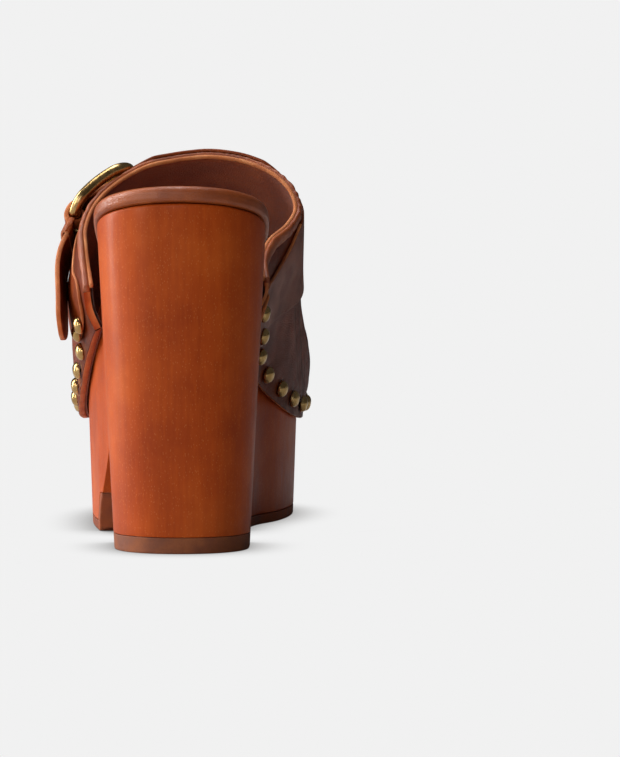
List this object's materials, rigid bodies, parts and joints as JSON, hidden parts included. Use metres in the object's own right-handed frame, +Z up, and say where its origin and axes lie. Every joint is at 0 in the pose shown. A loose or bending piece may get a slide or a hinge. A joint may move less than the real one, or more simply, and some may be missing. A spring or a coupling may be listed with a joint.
{
  "type": "platform clog",
  "caption": "High-heeled wooden clog for the left foot, with a studded leather upper and a buckled strap across the instep.",
  "frame": {"origin": "centre of the heel's rubber top piece, at the floor", "axes": "+Y from the heel to the toe, +X to the inner side of the foot, +Z up"},
  "size_m": [0.1073, 0.2513, 0.1546],
  "materials": {
    "wood": "stained orange-brown, satin",
    "outsole_rubber": "matte brown",
    "heel_rubber": "matte light brown",
    "insole_leather": "satin brown",
    "cushion_foam": "pale foam",
    "lining_leather": "matte brown",
    "stiffener_board": "fibre board",
    "upper_leather": "waxed chestnut",
    "strap_leather": "waxed chestnut",
    "gold_metal": "pale gold plate"
  },
  "bodies": {
    "clog": {"wooden_sole": "wood", "platform_outsole": "outsole_rubber", "heel_top_piece": "heel_rubber", "insole_cover": "insole_leather", "insole_cushion": "cushion_foam", "vamp_lining": "lining_leather", "toe_stiffener": "stiffener_board", "vamp_leather": "upper_leather", "topline_binding": "upper_leather", "instep_strap": "strap_leather", "buckle_chape": "strap_leather", "strap_end": "strap_leather", "keeper_loop": "strap_leather", "stud_01": "gold_metal", "stud_02": "gold_metal", "stud_03": "gold_metal", "stud_04": "gold_metal", "stud_05": "gold_metal", "stud_06": "gold_metal", "stud_07": "gold_metal", "stud_08": "gold_metal", "stud_09": "gold_metal", "stud_10": "gold_metal", "stud_11": "gold_metal", "stud_12": "gold_metal", "stud_13": "gold_metal", "stud_14": "gold_metal", "stud_15": "gold_metal", "stud_16": "gold_metal", "stud_17": "gold_metal", "stud_18": "gold_metal", "stud_19": "gold_metal", "stud_20": "gold_metal", "stud_21": "gold_metal", "stud_22": "gold_metal", "stud_23": "gold_metal", "stud_24": "gold_metal"},
    "buckle": {"buckle_frame": "gold_metal"},
    "prong": {"buckle_prong": "gold_metal"},
    "tail": {"strap_tail": "strap_leather"}
  },
  "joints": [
    {"name": "buckle_hinge", "type": "hinge", "parent": "clog", "child": "buckle", "pos_m": [-0.04676, 0.0907, 0.12421], "axis": [-0.0162, -0.8614, 0.5077], "range_deg": [0, 8]},
    {"name": "prong_hinge", "type": "hinge", "parent": "buckle", "child": "prong", "pos_m": [-0.04676, 0.0907, 0.12421], "axis": [-0.0162, -0.8614, 0.5077], "range_deg": [0, 22]},
    {"name": "tail_flex", "type": "hinge", "parent": "clog", "child": "tail", "pos_m": [-0.05137, 0.08405, 0.11259], "axis": [0.0616, 0.8616, -0.5039], "range_deg": [0, 35], "stiffness_Nm_per_rad": 0.02}
  ]
}
